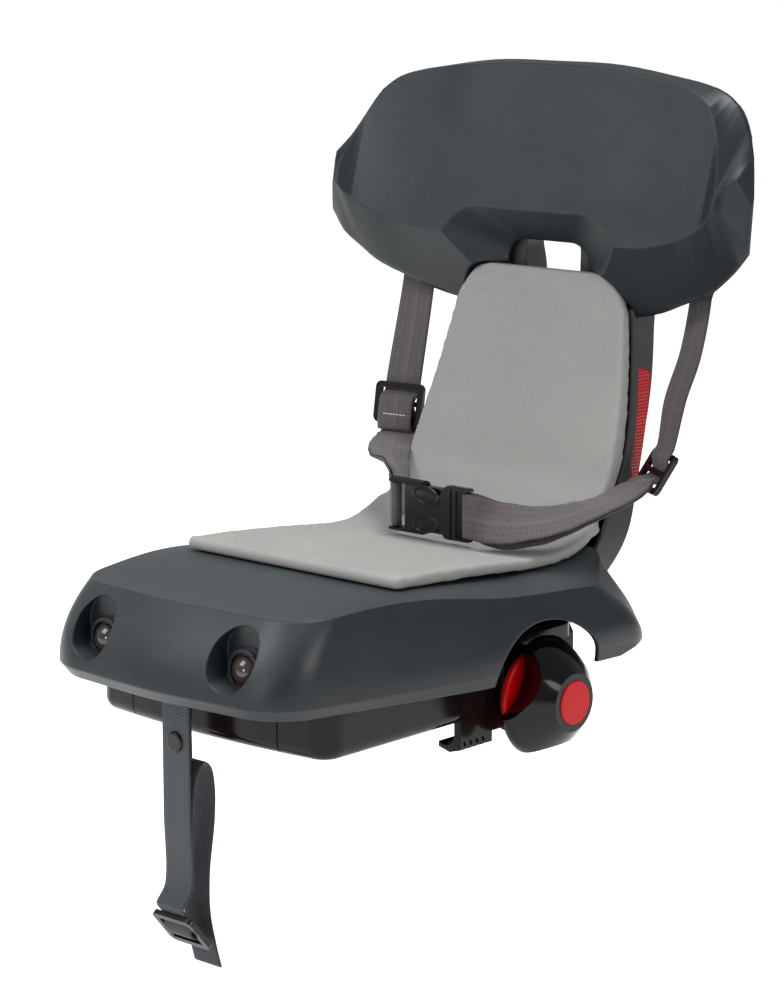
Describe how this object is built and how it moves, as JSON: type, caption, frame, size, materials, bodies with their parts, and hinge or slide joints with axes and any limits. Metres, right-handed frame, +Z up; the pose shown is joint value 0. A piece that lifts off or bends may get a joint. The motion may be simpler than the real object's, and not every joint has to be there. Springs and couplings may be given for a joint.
{
  "type": "child bike seat",
  "caption": "Rear child bicycle seat with moulded shell, foam pad, wide headrest, harness, safety strap and a knob-driven clamp for a luggage carrier.",
  "frame": {"origin": "on the carrier face under the tray, midway between the jaws, below the clamp spindle's axis", "axes": "+Z up, -Y the way the child faces, +X the side of the clamp knob"},
  "size_m": [0.392, 0.4429, 0.5963],
  "materials": {
    "shell": "satin",
    "frame": "matte",
    "foam": "matte",
    "reflector": "gloss",
    "base": "gloss",
    "black": "gloss",
    "red": "gloss",
    "webbing": "woven",
    "tether": "woven",
    "steel": "zinc plated",
    "dark_bolt": "gloss"
  },
  "bodies": {
    "seat": {"seat_shell": "shell", "pocket_bolts": "dark_bolt", "seat_pad": "foam", "headrest_shell": "shell", "back_frame": "frame", "side_reflector_left": "reflector", "side_reflector_right": "reflector", "base_tray": "base", "clamp_cover": "black", "bearing_cap": "black", "bearing_screws": "steel", "webbing_left": "webbing", "webbing_right": "webbing", "triglide_left": "black", "triglide_right": "black", "buckle_socket": "black", "tether_strap": "tether", "tether_rivet": "black", "tether_slide": "black", "tether_pin": "steel", "anchor_bar_left": "steel", "anchor_bar_right": "steel", "shell_screws": "steel", "frame_screws": "steel", "cover_screws": "steel"},
    "clamp_knob": {"knob_body": "black", "knob_cap": "red", "knob_flange": "red", "spindle": "steel"},
    "jaw_right": {"jaw_right": "base"},
    "jaw_left": {"jaw_left": "base"},
    "buckle_plug": {"buckle_plug": "black"}
  },
  "joints": [
    {"name": "knob_turn", "type": "hinge", "parent": "seat", "child": "clamp_knob", "pos_m": [0, 0, 0.0146], "axis": [1, 0, 0], "range_deg": [0, 2160]},
    {"name": "jaw_right_slide", "type": "slide", "parent": "seat", "child": "jaw_right", "axis": [-1, 0, 0], "range_m": [0, 0.045]},
    {"name": "jaw_left_slide", "type": "slide", "parent": "seat", "child": "jaw_left", "axis": [1, 0, 0], "range_m": [0, 0.045]},
    {"name": "buckle_release", "type": "slide", "parent": "seat", "child": "buckle_plug", "axis": [1, 0, 0], "range_m": [0, 0.025], "deforming": ["webbing_right"]}
  ],
  "couplings": [
    {"joint": "jaw_right_slide", "follows": "knob_turn", "m_per_rad": 0.0011937},
    {"joint": "jaw_left_slide", "follows": "knob_turn", "m_per_rad": 0.0011937}
  ]
}
